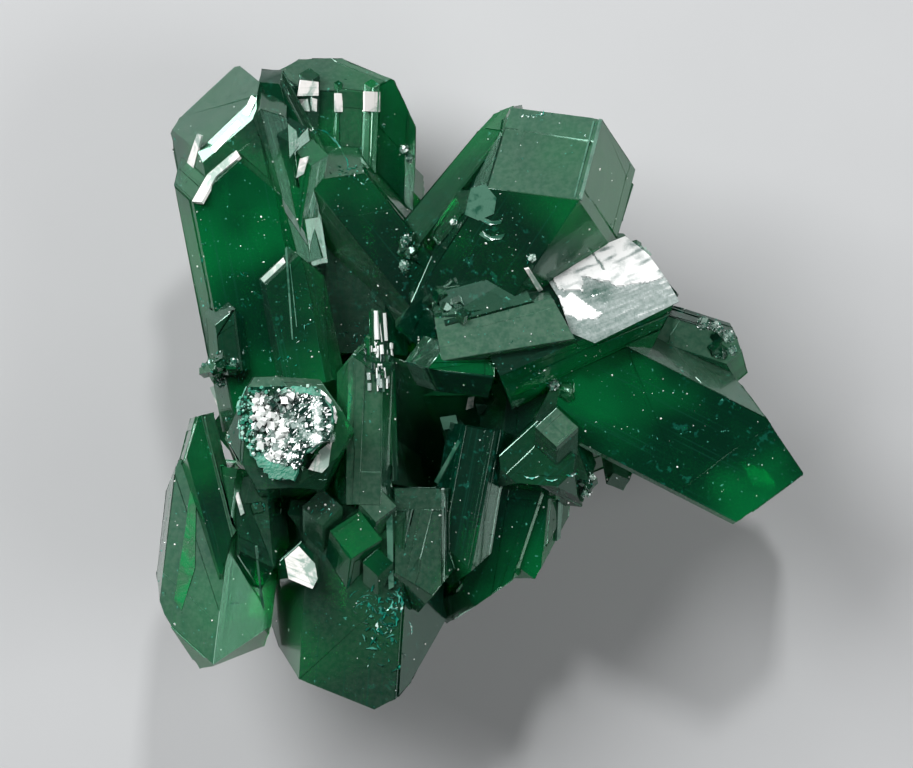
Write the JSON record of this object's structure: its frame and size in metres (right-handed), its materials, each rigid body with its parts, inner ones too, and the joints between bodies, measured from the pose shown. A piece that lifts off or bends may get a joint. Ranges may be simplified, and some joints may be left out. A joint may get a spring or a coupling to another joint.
{
  "type": "dioptase crystal cluster",
  "caption": "Cluster of stout emerald-green dioptase crystals that fan out from one root, cut flat behind so that it lies on a table.",
  "frame": {"origin": "on the plane of the flat cut, under the middle of the cluster's box", "axes": "+Z out of the side that shows best, away from the cut; +Y toward the two tall crystals; +X toward the crystals that point right"},
  "size_m": [0.0261, 0.0263, 0.0125],
  "materials": {
    "emerald_crystal": "clear to cloudy emerald-green crystal with bright flat faces, fine growth lines and one rough, glittering broken end"
  },
  "bodies": {
    "root": {"dioptase_cluster": "emerald_crystal"}
  },
  "joints": []
}
